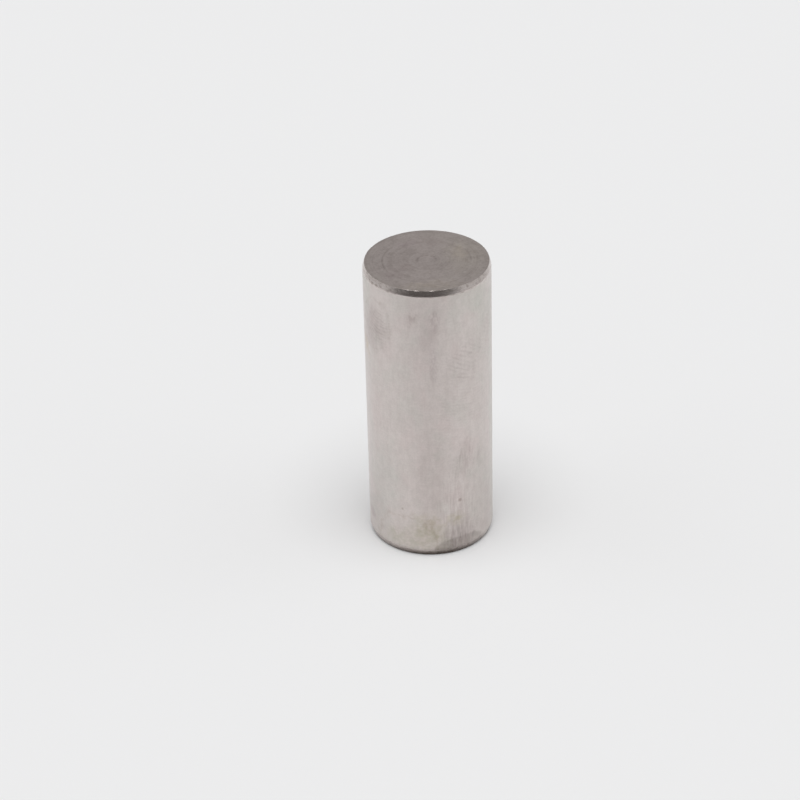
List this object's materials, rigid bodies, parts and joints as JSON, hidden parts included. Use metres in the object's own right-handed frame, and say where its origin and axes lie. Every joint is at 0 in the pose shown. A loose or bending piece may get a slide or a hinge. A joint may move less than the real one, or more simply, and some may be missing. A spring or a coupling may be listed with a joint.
{
  "type": "crankpin",
  "caption": "Solid straight round steel pin with a ground surface, a steep lead-in taper at each end and plain faced ends, pressed between two crank webs.",
  "frame": {"origin": "centre of the lower end face, on the pin's axis", "axes": "+Z along the pin's axis, from the lower end face to the upper one; X and Y are free, because the pin is round"},
  "size_m": [0.026, 0.026, 0.0633],
  "materials": {
    "ground_steel": "ground"
  },
  "bodies": {
    "root": {"crankpin": "ground_steel"}
  },
  "joints": []
}
